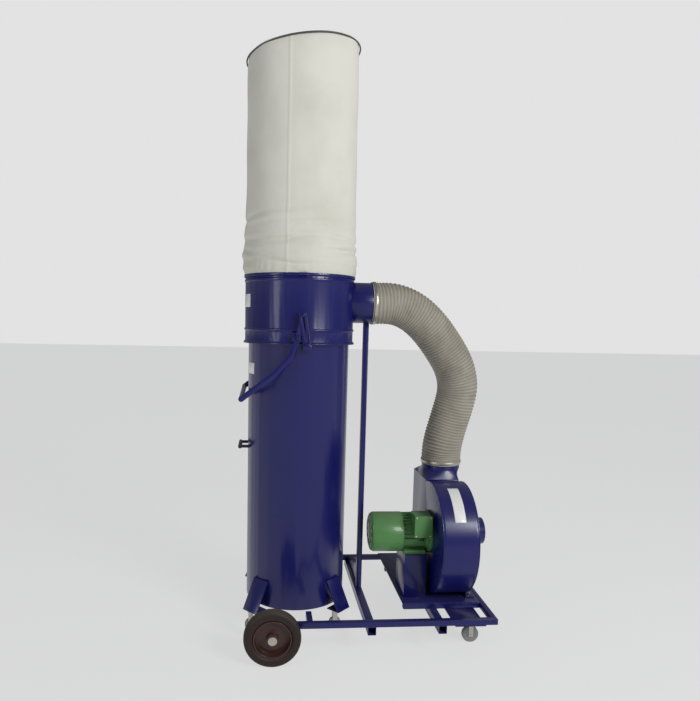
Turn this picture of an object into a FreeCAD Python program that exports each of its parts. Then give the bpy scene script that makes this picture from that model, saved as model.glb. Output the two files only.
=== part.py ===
import FreeCAD, Part
import math
import os
import re
import Sketcher

# Mobile dust collector: a blower on a wheeled frame feeds a separator housing
# through a flexible duct. A filter bag stands on the housing, a dust bin hangs
# under it from an over-centre lever and rolls out on its own casters.
# Frame of reference: +Z up, +X towards the blower, -Y the operating side,
# origin on the floor below the middle of the outline.

os.makedirs("parts", exist_ok=True)
doc = FreeCAD.newDocument("dust_collector")
Vector = FreeCAD.Vector
Rotation = FreeCAD.Rotation
Placement = FreeCAD.Placement

DIMENSIONS = {
    # drum column
    "drum_x": -308,            # axis of bin, housing and bag
    "bin_radius": 232.7,
    "bin_wall": 2,
    "bin_bottom": 145,
    "bin_rim": 1383.7,
    "housing_radius": 250,
    "housing_wall": 3,
    "skirt_radius": 257,
    "skirt_bottom": 1345,
    "throat_level": 1390,      # underside of the ring the bin closes against
    "throat_radius": 205,
    "seal_thick": 6,
    "housing_top": 1650,
    "bag_radius": 249,
    "bag_cloth": 3,
    "bag_hem": 1636,
    "bag_top": 2626,
    "bag_bulge": 262,
    "cage_rod": 4,
    "cage_radius": 241,
    "cage_foot": 1642,         # above the inlet hole
    "cage_top": 2566,          # clear of a bag whose hoop sits crooked
    "clamp_low": 1640,
    "clamp_high": 1652,
    # duct
    "duct_radius": 93.5,       # outside of the sheet collars
    "hose_inner": 94.2,
    "hose_outer": 97,
    "inlet_level": 1537,
    "collar_end": 362,
    "hose_start": 334,
    "outlet_x": 735,
    "outlet_y": 110,
    "hose_low": 752,
    # frame
    "frame_half": 395,
    "tube": 25,
    "tube_wall": 2,
    "rail_low": 139,
    "rail_high": 164,
    "rail_left": 150,
    "frame_right": 875,
    "beam": 36,
    "beam_left_x": 298,
    "beam_mid_x": 611,
    "post_x": 305.5,
    "post_y": 4.5,
    "gusset_high": 290,
    "plate_top": 169,
    "plate_left": 485,
    "plate_right": 850,
    "plate_front": 230,
    "bearer_in": 205,
    # road wheels
    "road_radius": 122,
    "road_x": 115,
    "tyre_in": 402,
    "tyre_out": 458,
    "axle_radius": 10,
    # blower and motor
    "shaft_y": -80,
    "shaft_level": 460,
    "scroll_left": 632,
    "scroll_right": 797,
    "scroll_sheet": 4,
    "scroll_start": 240,       # radius of the spiral above the shaft
    "scroll_growth": 49.5,     # extra radius over half a turn
    "scroll_mouth": 690,
    "spigot_radius": 62.5,
    "spigot_end": 893,
    "shaft_radius": 12,
    "running": 0.05,
    # lever gear
    "pivot_x": -19,
    "pivot_level": 1376,
    "crank_x": 0,
    "crank_level": 1474,
    "lug_x": 20,
    "lug_level": 1338,
    "arm_in": 264,
    "arm_out": 270,
    "pin_radius": 5,
    # casters
    "leg_foot": 134,
    "leg_radius": 273,
}

sheet = doc.addObject("Spreadsheet::Sheet", "Dims")
for row, (alias, number) in enumerate(DIMENSIONS.items(), start=1):
    sheet.set("A%d" % row, alias)
    sheet.set("B%d" % row, str(number))
    sheet.setAlias("B%d" % row, alias)
doc.recompute()

nodes = []


def formula(text):
    """Point every dimension name in the text at its cell in the sheet."""
    def cell(match):
        word = match.group(0)
        return "Dims." + word if word in DIMENSIONS else word
    return re.sub(r"[a-z_]+", cell, str(text))


def amount(text):
    """Value of a sum of dimension names and plain numbers."""
    total = 0.0
    for sign, term in re.findall(r"([+-]?)\s*([a-z_]+|[0-9.]+)", str(text)):
        value = float(sheet.get(term)) if term in DIMENSIONS else float(term)
        total += -value if sign == "-" else value
    return total


def mirrored(side, near, far):
    """Low and high bound of a span on the +Y side or its mirror on the -Y side."""
    if side > 0:
        return near, far
    return "-(%s)" % far, "-(%s)" % near


def node(shape_object, label):
    """Name a finished sub-part and put it on the export list."""
    shape_object.Label = label
    nodes.append(shape_object)
    return shape_object


def place(item, x, y, z, rotation=None):
    item.Placement = Placement(Vector(0, 0, 0), rotation or Rotation())
    for letter, text in zip("xyz", (x, y, z)):
        item.setExpression("Placement.Base." + letter, formula(text))


def box(x, y, z):
    """Box between low and high bounds along each axis."""
    item = doc.addObject("Part::Box", "Block")
    for size, span in zip(("Length", "Width", "Height"), (x, y, z)):
        item.setExpression(size, formula("(%s) - (%s)" % (span[1], span[0])))
    place(item, x[0], y[0], z[0])
    return item


TURNS = {
    "x": Rotation(Vector(0, 1, 0), 90),
    "y": Rotation(Vector(1, 0, 0), -90),
    "z": Rotation(),
}


def spot(axis, centre, level):
    """Coordinates of a point at a level along an axis through a centre."""
    first, second = centre
    if axis == "x":
        return level, first, second
    if axis == "y":
        return first, level, second
    return first, second, level


def rod(axis, centre, span, radius):
    """Cylinder along an axis between two levels."""
    item = doc.addObject("Part::Cylinder", "Rod")
    item.setExpression("Radius", formula(radius))
    item.setExpression("Height", formula("(%s) - (%s)" % (span[1], span[0])))
    place(item, *spot(axis, centre, span[0]), TURNS[axis])
    return item


def hoop(centre, level, major, minor):
    """Horizontal ring of round bar."""
    item = doc.addObject("Part::Torus", "Hoop")
    item.setExpression("Radius1", formula(major))
    item.setExpression("Radius2", formula(minor))
    place(item, centre[0], centre[1], level)
    return item


def cut(base, tool):
    item = doc.addObject("Part::Cut", "Trimmed")
    item.Base = base
    item.Tool = tool
    return item


def fuse(pieces):
    item = doc.addObject("Part::MultiFuse", "Joined")
    item.Shapes = pieces
    return item


def common(base, tool):
    item = doc.addObject("Part::Common", "Shared")
    item.Base = base
    item.Tool = tool
    return item


def square_tube(x, y, z, along):
    """Square tube with open ends; the bore runs along the named axis."""
    spans = {"x": x, "y": y, "z": z}
    inner = {}
    for letter, (low, high) in spans.items():
        if letter == along:
            inner[letter] = ("%s - 1" % low, "%s + 1" % high)
        else:
            inner[letter] = ("%s + tube_wall" % low, "%s - tube_wall" % high)
    return cut(box(x, y, z), box(inner["x"], inner["y"], inner["z"]))


def outline(body, plane, points):
    """Closed polygon sketch, each corner held by two named dimensions."""
    origin_plane = [f for f in body.Origin.OriginFeatures if f.Role == plane][0]
    sketch = body.newObject("Sketcher::SketchObject", "Profile")
    sketch.AttachmentSupport = [(origin_plane, "")]
    sketch.MapMode = "FlatFace"
    corners = [Vector(amount(a), amount(b), 0) for a, b in points]
    count = len(corners)
    for index in range(count):
        line = Part.LineSegment(corners[index], corners[(index + 1) % count])
        sketch.addGeometry(line, False)
    for index in range(count):
        sketch.addConstraint(Sketcher.Constraint("Coincident", index, 2, (index + 1) % count, 1))
    for index, (across, up) in enumerate(points):
        if across == "0":
            sketch.addConstraint(Sketcher.Constraint("PointOnObject", index, 1, -2))
        else:
            limit = sketch.addConstraint(
                Sketcher.Constraint("DistanceX", index, 1, corners[index].x))
            sketch.setExpression("Constraints[%d]" % limit, formula(across))
        limit = sketch.addConstraint(Sketcher.Constraint("DistanceY", index, 1, corners[index].y))
        sketch.setExpression("Constraints[%d]" % limit, formula(up))
    return sketch


def turned(axis, centre, points):
    """Body turned about an axis; corners are given as radius and level."""
    body = doc.addObject("PartDesign::Body", "Turned")
    sketch = outline(body, "XZ_Plane", points)
    feature = body.newObject("PartDesign::Revolution", "Turning")
    feature.Profile = sketch
    feature.ReferenceAxis = (sketch, ["V_Axis"])
    feature.Angle = 360
    body.Tip = feature
    place(body, *spot(axis, centre, "0"), TURNS[axis])
    return body


def padded(plane, points, thickness):
    """Body made by thickening a polygon drawn on one of its own planes."""
    body = doc.addObject("PartDesign::Body", "Plate")
    sketch = outline(body, plane, points)
    feature = body.newObject("PartDesign::Pad", "Thickness")
    feature.Profile = sketch
    feature.setExpression("Length", formula(thickness))
    body.Tip = feature
    return body


def solid_feature(name, shape, base=None):
    """Sheet-metal form that has no primitive of its own."""
    item = doc.addObject("Part::Feature", name)
    item.Shape = shape
    item.Placement = Placement(base or Vector(0, 0, 0), Rotation())
    return item


# ---------------------------------------------------------------- wheeled frame
AXIS = ("drum_x", "0")
SIDES = ((-1, "front"), (1, "rear"))

rail_x = ("drum_x - rail_left", "drum_x + frame_right")
rail_z = ("rail_low", "rail_high")
rails = []
guides = []
bearers = []
for side, name in SIDES:
    rails.append(square_tube(rail_x, mirrored(side, "frame_half - tube", "frame_half"), rail_z, "x"))
    guides.append(square_tube(("drum_x + 35", "drum_x + 35 + tube"),
                              mirrored(side, "280", "frame_half - tube"), rail_z, "y"))
    bearers.append(square_tube(("drum_x + 490", "drum_x + plate_right"),
                               mirrored(side, "bearer_in", "bearer_in + tube"), rail_z, "x"))
node(fuse(rails), "side_rails")
node(fuse(guides), "bin_guides")
node(fuse(bearers), "plate_bearers")

beams = []
for start in ("beam_left_x", "beam_mid_x"):
    beams.append(square_tube(("drum_x + %s" % start, "drum_x + %s + beam" % start),
                             ("-(frame_half)", "frame_half"),
                             ("rail_low - beam", "rail_low"), "y"))
beams.append(square_tube(("drum_x + plate_right", "drum_x + frame_right"),
                         ("-(frame_half - tube)", "frame_half - tube"), rail_z, "y"))
node(fuse(beams), "cross_tubes")

post = square_tube(("drum_x + post_x", "drum_x + post_x + tube"),
                   ("post_y", "post_y + tube"),
                   ("rail_low", "inlet_level - duct_radius + 8"), "z")
saddle = rod("x", ("0", "inlet_level"), ("drum_x + 200", "drum_x + 400"), "duct_radius")
node(cut(post, saddle), "support_post")

gusset = padded("YZ_Plane", [("post_y + tube", "rail_low"), ("frame_half - tube", "rail_low"),
                             ("frame_half - tube", "rail_low + 20"),
                             ("post_y + tube", "gusset_high")], "6")
place(gusset, "drum_x + post_x + 9.5", "0", "0")
node(gusset, "post_gusset")

node(box(("drum_x + plate_left", "drum_x + plate_right"), ("-(plate_front)", "frame_half"),
         ("rail_high", "plate_top")), "blower_base_plate")

axles = []
for side, name in SIDES:
    centre = ("drum_x - road_x", "road_radius")
    hanger = box(("drum_x - road_x - 24", "drum_x - road_x + 24"),
                 mirrored(side, "frame_half - 22", "frame_half - 3"),
                 ("road_radius - 24", "rail_low"))
    stub = rod("y", centre, mirrored(side, "frame_half - 3", "tyre_out + 4"), "axle_radius")
    cap = rod("y", centre, mirrored(side, "tyre_out + 1", "tyre_out + 5"), "19")
    axles += [hanger, stub, cap]
node(fuse(axles), "wheel_axles")

for side, name in SIDES:
    middle = "0"
    tyre = turned("y", ("drum_x - road_x", "road_radius"), [
        ("82", "tyre_in + 4"), ("100", "tyre_in"), ("114", "tyre_in + 6"),
        ("road_radius", "tyre_in + 18"), ("road_radius", "tyre_out - 18"),
        ("114", "tyre_out - 6"), ("100", "tyre_out"), ("82", "tyre_out - 4")])
    hub = turned("y", ("drum_x - road_x", "road_radius"), [
        ("axle_radius + running", "tyre_in - 6"), ("26", "tyre_in - 6"), ("26", "tyre_in + 22"),
        ("72", "tyre_in + 18"), ("76", "tyre_in + 4"), ("82", "tyre_in + 4"),
        ("82", "tyre_out - 4"), ("76", "tyre_out - 4"), ("72", "tyre_in + 24"),
        ("26", "tyre_in + 28"), ("26", "tyre_out"), ("axle_radius + running", "tyre_out")])
    for piece in (tyre, hub):
        if side < 0:
            flip = TURNS["y"].multiply(Rotation(Vector(1, 0, 0), 180))
            place(piece, "drum_x - road_x", middle, "road_radius", flip)
    node(tyre, "road_tyre_" + name)
    node(hub, "road_hub_" + name)


def kingpin(x, y, top):
    """Headed pin that a swivel fork hangs from."""
    stem = rod("z", (x, y), (top + " - 9.3", top), "pin_radius")
    head = rod("z", (x, y), (top + " - 13", top + " - 9.3"), "9")
    return [stem, head]


def caster(label, x, y, top, floor, radius, half_width, trail):
    """Swivel fork and wheel below a kingpin; the wheel trails along X."""
    wheel_x = "%s + %s" % (x, trail) if trail > 0 else "%s - %s" % (x, -trail)
    low_x = x if trail > 0 else wheel_x
    high_x = wheel_x if trail > 0 else x
    axle = "%s + %s" % (floor, radius)
    gap = half_width + 1.5
    crown = box(("%s - 14" % low_x, "%s + 14" % high_x),
                ("%s - %s" % (y, gap + 3), "%s + %s" % (y, gap + 3)),
                (top + " - 9", top + " - 3"))
    bored = cut(crown, rod("z", (x, y), (top + " - 12", top), "pin_radius + running"))
    pieces = [bored, rod("y", (wheel_x, axle), ("%s - %s" % (y, gap + 5), "%s + %s" % (y, gap + 5)),
                         "4")]
    for low, high in ((-gap - 3, -gap), (gap, gap + 3)):
        pieces.append(box(("%s - 11" % wheel_x, "%s + 11" % wheel_x),
                          ("%s + (%s)" % (y, low), "%s + (%s)" % (y, high)),
                          ("%s - 9" % axle, top + " - 3")))
    node(fuse(pieces), label + "_fork")
    rim = radius - 3
    wheel = turned("y", (wheel_x, axle), [
        ("4 + running", "-%s" % half_width), ("%s" % rim, "-%s" % half_width),
        ("%s" % radius, "-%s" % (half_width - 3)), ("%s" % radius, "%s" % (half_width - 3)),
        ("%s" % rim, "%s" % half_width), ("4 + running", "%s" % half_width)])
    wheel.setExpression("Placement.Base.y", formula(y))
    node(wheel, label + "_wheel")


caster_plates = []
for side, name in SIDES:
    y = "%d" % (270 * side)
    caster_plates.append(box(("drum_x + 685", "drum_x + 822"),
                             mirrored(side, "bearer_in", "frame_half"),
                             ("rail_low - 5", "rail_low")))
    caster_plates += kingpin("drum_x + 765", y, "leg_foot")
    caster("frame_caster_" + name, "drum_x + 765", y, "leg_foot", "0", 37.5, 12, 30)
node(fuse(caster_plates), "caster_plates")

# ---------------------------------------------------------------- separator housing
housing_profile = [
    ("skirt_radius - 3", "skirt_bottom"), ("skirt_radius", "skirt_bottom"),
    ("skirt_radius", "skirt_bottom + 6"), ("housing_radius", "skirt_bottom + 13"),
    ("housing_radius", "throat_level + 11"), ("housing_radius + 4", "throat_level + 15"),
    ("housing_radius + 4", "throat_level + 21"), ("housing_radius", "throat_level + 25"),
    ("housing_radius", "housing_top - 32"), ("housing_radius + 3", "housing_top - 29"),
    ("housing_radius + 3", "housing_top - 21"), ("housing_radius", "housing_top - 18"),
    ("housing_radius", "housing_top"), ("housing_radius - housing_wall", "housing_top"),
    ("housing_radius - housing_wall", "throat_level + 3"), ("throat_radius", "throat_level + 3"),
    ("throat_radius", "throat_level"), ("housing_radius - housing_wall", "throat_level"),
    ("housing_radius - housing_wall", "skirt_bottom + 13"),
    ("skirt_radius - 3", "skirt_bottom + 6")]
housing = turned("z", AXIS, housing_profile)
inlet_hole = rod("x", ("0", "inlet_level"), ("drum_x + 150", "drum_x + 300"), "duct_radius - 2")
node(cut(housing, inlet_hole), "housing_shell")

node(turned("z", AXIS, [("222", "throat_level - seal_thick"), ("243", "throat_level - seal_thick"),
                        ("243", "throat_level"), ("222", "throat_level")]), "housing_seal")

collar_span = ("drum_x + 200", "drum_x + collar_end")
collar = cut(rod("x", ("0", "inlet_level"), collar_span, "duct_radius"),
             rod("x", ("0", "inlet_level"), ("drum_x + 199", "drum_x + collar_end + 1"),
                 "duct_radius - 2"))
wall = rod("z", AXIS, ("inlet_level - 150", "inlet_level + 150"), "housing_radius")
bead = rod("z", AXIS, ("housing_top - 33", "housing_top - 17"), "housing_radius + 3")
node(cut(cut(collar, wall), bead), "inlet_collar")

pads = []
for side, name in SIDES:
    pad = box(("drum_x + pivot_x - 26", "drum_x + pivot_x + 29"),
              mirrored(side, "225", "arm_in - 2"), ("pivot_level - 17", "pivot_level + 23"))
    drum = rod("z", AXIS, ("pivot_level - 40", "pivot_level + 40"), "housing_radius")
    pivot = ("drum_x + pivot_x", "pivot_level")
    pads.append(cut(pad, drum))
    pads.append(rod("y", pivot, mirrored(side, "arm_in - 2", "arm_out + 1"), "pin_radius"))
    pads.append(rod("y", pivot, mirrored(side, "arm_out + 0.6", "arm_out + 5"), "9"))
node(fuse(pads), "lever_brackets")


def sticker(radius, y, z):
    """Blank plate lying on the left side of a drum."""
    ring = cut(rod("z", AXIS, z, radius + " + 0.8"), rod("z", AXIS, z, radius))
    return common(ring, box(("drum_x - 300", "drum_x - 100"), y, z))


# ---------------------------------------------------------------- filter bag
bag_profile = [
    ("housing_radius + 0.4", "bag_hem"), ("housing_radius + 3.4", "bag_hem"),
    ("housing_radius + 3.4", "clamp_high"), ("bag_bulge", "clamp_high + 40"),
    ("bag_bulge", "clamp_high + 90"), ("bag_radius + 4", "clamp_high + 150"),
    ("bag_radius", "clamp_high + 250"), ("bag_radius", "bag_top - 12"),
    ("bag_radius - 6", "bag_top"), ("0", "bag_top"), ("0", "bag_top - bag_cloth"),
    ("bag_radius - 8", "bag_top - bag_cloth"), ("bag_radius - bag_cloth", "bag_top - 13"),
    ("bag_radius - bag_cloth", "clamp_high + 250"), ("bag_radius + 1", "clamp_high + 150"),
    ("bag_bulge - bag_cloth", "clamp_high + 90"), ("bag_bulge - bag_cloth", "clamp_high + 40"),
    ("housing_radius + 0.4", "clamp_high")]
node(turned("z", AXIS, bag_profile), "filter_bag")

band = turned("z", AXIS, [("housing_radius + 3.7", "clamp_low"), ("housing_radius + 5.7", "clamp_low"),
                          ("housing_radius + 5.7", "clamp_high"),
                          ("housing_radius + 3.7", "clamp_high")])
latch = box(("drum_x - 20", "drum_x + 20"), ("-(housing_radius + 14)", "-(housing_radius + 5.5)"),
            ("clamp_low", "clamp_high"))
node(fuse([band, latch]), "bag_clamp_band")

node(hoop(AXIS, "bag_top - 16", "bag_radius + 3.4", "3"), "bag_top_ring")

cage = []
for quarter in range(4):
    angle = math.radians(45 + 90 * quarter)
    spot_x = "drum_x + cage_radius * %.4f" % math.cos(angle)
    spot_y = "cage_radius * %.4f" % math.sin(angle)
    cage.append(rod("z", (spot_x, spot_y), ("cage_foot", "cage_top"), "cage_rod"))
for level in ("housing_top + 40", "housing_top + 480", "cage_top"):
    cage.append(hoop(AXIS, level, "cage_radius - cage_rod", "cage_rod"))
cage.append(hoop(AXIS, "cage_foot", "housing_radius - housing_wall - cage_rod", "cage_rod"))
node(fuse(cage), "bag_cage")

# ---------------------------------------------------------------- dust bin
bin_profile = [
    ("0", "bin_bottom"), ("bin_radius", "bin_bottom"), ("bin_radius", "bin_rim - 8"),
    ("bin_radius + 3", "bin_rim - 6"), ("bin_radius + 3", "bin_rim"),
    ("bin_radius - bin_wall", "bin_rim"), ("bin_radius - bin_wall", "bin_bottom + 3"),
    ("0", "bin_bottom + 3")]
node(turned("z", AXIS, bin_profile), "bin_shell")


def bin_body():
    """Cylinder that trims fittings to the outside of the bin."""
    return rod("z", AXIS, ("leg_foot - 20", "bin_rim"), "bin_radius")


legs = []
for number, (sign_x, sign_y) in enumerate(((1, -1), (1, 1), (-1, 1), (-1, -1)), start=1):
    leg = padded("XZ_Plane", [
        ("leg_radius - 47", "leg_foot + 131"), ("leg_radius - 36", "leg_foot + 131"),
        ("leg_radius + 33", "leg_foot"), ("leg_radius - 34", "leg_foot"),
        ("leg_radius - 34", "leg_foot + 4"), ("leg_radius + 27", "leg_foot + 4"),
        ("leg_radius - 47", "leg_foot + 124")], "84")
    turn = Rotation(Vector(0, 0, 1), math.degrees(math.atan2(sign_y, sign_x)))
    base = Vector(amount("drum_x"), 0, 0) + turn.multVec(Vector(0, 42, 0))
    leg.Placement = Placement(base, turn)
    legs.append(cut(leg, bin_body()))
    spot_x = "drum_x + leg_radius * %.4f" % (sign_x * math.sqrt(0.5))
    spot_y = "leg_radius * %.4f" % (sign_y * math.sqrt(0.5))
    legs += kingpin(spot_x, spot_y, "leg_foot")
    caster("bin_caster_%d" % number, spot_x, spot_y, "leg_foot", "40", 27, 10, -16)
node(fuse(legs), "bin_legs")

grip = rod("y", ("drum_x - 268", "865"), ("-65", "65"), "9")
handle = [grip]
for side, name in SIDES:
    stub = box(("drum_x - 270", "drum_x - 200"), mirrored(side, "49", "61"), ("859", "871"))
    handle.append(cut(stub, bin_body()))
node(fuse(handle), "bin_handle")

lugs = []
for side, name in SIDES:
    block = box(("drum_x + lug_x - 20", "drum_x + lug_x + 20"), mirrored(side, "215", "arm_in - 2"),
                ("lug_level - 16", "skirt_bottom - 1.5"))
    lug_pin = ("drum_x + lug_x", "lug_level")
    lugs.append(cut(block, bin_body()))
    lugs.append(rod("y", lug_pin, mirrored(side, "arm_in - 2", "arm_out + 8"), "pin_radius"))
    lugs.append(rod("y", lug_pin, mirrored(side, "arm_out + 7.6", "arm_out + 11"), "16"))
node(fuse(lugs), "bin_lugs")
node(sticker("bin_radius", ("-110", "-40"), ("1206", "1256")), "bin_label")


# ---------------------------------------------------------------- closing lever
def bent_bar(points, half_width, low, high):
    """Flat bar with round ends following a bent line in the XZ plane."""
    corners = [Vector(x, low, z) for x, z in points]
    depth = Vector(0, high - low, 0)
    pieces = [Part.makeCylinder(half_width, depth.y, corner, Vector(0, 1, 0)) for corner in corners]
    for start, end in zip(corners, corners[1:]):
        across = (end - start).cross(Vector(0, 1, 0)).normalize() * half_width
        strip = Part.makePolygon([start + across, end + across, end - across, start - across,
                                  start + across])
        pieces.append(Part.Face(strip).extrude(depth))
    return pieces[0].multiFuse(pieces[1:]).removeSplitter()


def lever_point(x, level):
    return amount("drum_x + " + x) if x in DIMENSIONS else amount("drum_x") + x, amount(level)


arm_line = [lever_point("crank_x", "crank_level"), lever_point("pivot_x", "pivot_level"),
            lever_point(-52, "1290"), lever_point(-123, "1216"), lever_point(-258, "1112")]
link_line = [lever_point("crank_x", "crank_level"), lever_point("lug_x", "lug_level")]
bail = []
for side, name in SIDES:
    low, high = sorted((side * amount("arm_in"), side * amount("arm_out")))
    arm = solid_feature("BentArm", bent_bar(arm_line, 12, low, high))
    eye = rod("y", ("drum_x + pivot_x", "pivot_level"), mirrored(side, "arm_in - 1", "arm_out + 1"),
              "pin_radius + running")
    crank = ("drum_x + crank_x", "crank_level")
    bail.append(cut(arm, eye))
    bail.append(rod("y", crank, mirrored(side, "arm_out - 1", "arm_out + 8"), "pin_radius"))
    bail.append(rod("y", crank, mirrored(side, "arm_out + 7.4", "arm_out + 11"), "9"))
    low, high = sorted((side * (amount("arm_out") + 2), side * (amount("arm_out") + 7)))
    bar = solid_feature("LinkBar", bent_bar(link_line, 17, low, high))
    span = mirrored(side, "arm_out", "arm_out + 9")
    top_eye = rod("y", crank, span, "pin_radius + running")
    low_eye = rod("y", ("drum_x + lug_x", "lug_level"), span, "12")
    node(cut(cut(bar, top_eye), low_eye), "lever_link_" + name)
bail.append(rod("y", ("drum_x - 258", "1112"), ("-(arm_in)", "arm_in"), "11"))
node(fuse(bail), "lever_bail")

# ---------------------------------------------------------------- blower
SHAFT = ("shaft_y", "shaft_level")


def scroll_outline(inset, lift):
    """Closed spiral outline in the YZ plane: spiral, rear wall, mouth, tongue wall."""
    centre_y = amount("shaft_y")
    centre_z = amount("shaft_level")
    start = amount("scroll_start")
    growth = amount("scroll_growth") / math.pi
    mouth = amount("scroll_mouth") + lift
    first = -math.asin((-centre_y + inset) / start)
    last = 1.5 * math.pi
    path = []
    for step in range(17):
        turn = first + (last - first) * step / 16
        radius = start + growth * turn - inset
        path.append(Vector(0, centre_y - radius * math.sin(turn), centre_z + radius * math.cos(turn)))
    spiral = Part.BSplineCurve()
    spiral.interpolate(path)
    rear_top = Vector(0, path[-1].y, mouth)
    tongue_top = Vector(0, path[0].y, mouth)
    edges = [spiral.toShape(), Part.makeLine(path[-1], rear_top),
             Part.makeLine(rear_top, tongue_top), Part.makeLine(tongue_top, path[0])]
    return Part.Face(Part.Wire(edges))


def scroll_slab(inset, lift, thickness):
    return scroll_outline(inset, lift).extrude(Vector(thickness, 0, 0))


sheet_thick = amount("scroll_sheet")
scroll_depth = amount("scroll_right - scroll_left")
left_x = amount("drum_x + scroll_left")
right_x = amount("drum_x + scroll_right")
plate_left = solid_feature("SideSheet", scroll_slab(0, 0, sheet_thick), Vector(left_x, 0, 0))
node(cut(plate_left, rod("x", SHAFT, ("drum_x + 600", "drum_x + 660"), "35")), "scroll_plate_motor")
plate_right = solid_feature("SideSheet", scroll_slab(0, 0, sheet_thick),
                            Vector(right_x - sheet_thick, 0, 0))
node(cut(plate_right, rod("x", SHAFT, ("drum_x + 780", "drum_x + 810"), "spigot_radius - 2.5")),
     "scroll_plate_inlet")
band_depth = scroll_depth - 2 * sheet_thick
band_shape = scroll_slab(0, 0, band_depth).cut(scroll_slab(sheet_thick, 20, band_depth))
node(solid_feature("Band", band_shape, Vector(left_x + sheet_thick, 0, 0)), "scroll_band")


def round_wire(radius, level):
    centre = Vector(amount("drum_x + outlet_x"), amount("outlet_y"), level)
    return Part.Wire(Part.makeCircle(radius, centre, Vector(0, 0, 1)))


def mouth_wire(inset):
    """Rectangle round the mouth of the scroll."""
    level = amount("scroll_mouth")
    rear = scroll_outline(0, 0).BoundBox.YMax
    x_low, x_high = left_x + inset, right_x - inset
    y_low, y_high = inset, rear - inset
    return Part.makePolygon([Vector(x_low, y_low, level), Vector(x_high, y_low, level),
                             Vector(x_high, y_high, level), Vector(x_low, y_high, level),
                             Vector(x_low, y_low, level)])


def neck_form(inset):
    """Square-to-round transition with a straight collar above it."""
    radius = amount("duct_radius") - inset
    low = amount("scroll_mouth")
    transition = Part.makeLoft([mouth_wire(inset), round_wire(radius, low + 42)], True)
    axis_foot = Vector(amount("drum_x + outlet_x"), amount("outlet_y"), low + 42)
    return transition.fuse(Part.makeCylinder(radius, 58, axis_foot))


node(solid_feature("Neck", neck_form(0).cut(neck_form(2))), "outlet_neck")

spigot = cut(rod("x", SHAFT, ("drum_x + scroll_right", "drum_x + spigot_end"), "spigot_radius"),
             rod("x", SHAFT, ("drum_x + scroll_right - 1", "drum_x + spigot_end + 1"),
                 "spigot_radius - 2.5"))
ring = cut(rod("x", SHAFT, ("drum_x + scroll_right", "drum_x + scroll_right + 4"), "86"),
           rod("x", SHAFT, ("drum_x + 790", "drum_x + 810"), "spigot_radius - 1"))
node(fuse([spigot, ring]), "suction_spigot")

foot_y = ("-180", "20")
node(fuse([box(("drum_x + scroll_right", "drum_x + scroll_right + 4"), foot_y, ("plate_top", "250")),
           box(("drum_x + scroll_right", "drum_x + 840"), foot_y, ("plate_top", "plate_top + 4"))]),
     "scroll_foot")

housing_sticker = sticker("housing_radius", ("-110", "-40"), ("1506", "1564"))
strip = scroll_slab(-0.8, 0, 50).cut(scroll_slab(0, 0, 50))
strip_piece = common(solid_feature("Strip", strip, Vector(left_x + 58, 0, 0)),
                     box(("drum_x + 600", "drum_x + 800"), ("-310", "-165"), ("540", "720")))
node(fuse([housing_sticker, strip_piece]), "blank_labels")

# ---------------------------------------------------------------- motor
tube_body = cut(rod("x", SHAFT, ("drum_x + 494", "drum_x + 604"), "82"),
                rod("x", SHAFT, ("drum_x + 493", "drum_x + 605"), "61"))
feet = cut(box(("drum_x + 500", "drum_x + 600"), ("shaft_y - 82", "shaft_y + 82"),
               ("shaft_level - 86", "shaft_level - 66")),
           rod("x", SHAFT, ("drum_x + 490", "drum_x + 610"), "80"))
node(fuse([tube_body, feet]), "motor_body")
node(turned("x", SHAFT, [("shaft_radius + running", "drum_x + 604"), ("82", "drum_x + 604"),
                         ("82", "drum_x + 612"), ("100", "drum_x + 616"),
                         ("100", "drum_x + scroll_left"),
                         ("shaft_radius + running", "drum_x + scroll_left")]), "motor_flange")
node(turned("x", SHAFT, [("shaft_radius + running", "drum_x + 486"), ("91", "drum_x + 486"),
                         ("91", "drum_x + 494"), ("shaft_radius + running", "drum_x + 494")]),
     "motor_rear_shield")
cowl = turned("x", SHAFT, [("0", "drum_x + 347"), ("78", "drum_x + 347"), ("87", "drum_x + 351"),
                           ("93", "drum_x + 363"), ("93", "drum_x + 496"), ("91", "drum_x + 496"),
                           ("91", "drum_x + 364"), ("85", "drum_x + 353"), ("77", "drum_x + 350"),
                           ("0", "drum_x + 350")])
vents = []
for number in range(10):
    angle = math.radians(36 * number)
    centre = ("shaft_y + %.3f" % (55 * math.cos(angle)), "shaft_level + %.3f" % (55 * math.sin(angle)))
    vents.append(rod("x", centre, ("drum_x + 340", "drum_x + 358"), "10"))
node(cut(cowl, fuse(vents)), "motor_fan_cowl")

terminal = cut(box(("drum_x + 535", "drum_x + 611"), ("shaft_y - 132", "shaft_y - 40"),
                   ("shaft_level + 16", "shaft_level + 112")),
               rod("x", SHAFT, ("drum_x + 520", "drum_x + 611"), "82"))
lid = box(("drum_x + 532", "drum_x + 614"), ("shaft_y - 138", "shaft_y - 132"),
          ("shaft_level + 13", "shaft_level + 115"))
node(fuse([terminal, lid]), "terminal_box")
node(rod("z", ("drum_x + 573", "shaft_y - 112"), ("shaft_level - 8", "shaft_level + 16"), "11"),
     "cable_gland")

seat = ("shaft_y - 90", "shaft_y + 90")
pedestal = box(("drum_x + 503", "drum_x + 608"), seat, ("plate_top", "shaft_level - 86"))
hollow = box(("drum_x + 507", "drum_x + 604"), ("shaft_y - 86", "shaft_y + 86"),
             ("plate_top - 1", "shaft_level - 90"))
node(cut(pedestal, hollow), "motor_pedestal")

node(fuse([rod("x", SHAFT, ("drum_x + 372", "drum_x + 706"), "shaft_radius"),
           rod("x", SHAFT, ("drum_x + 500", "drum_x + 598"), "60")]), "motor_rotor")


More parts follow.
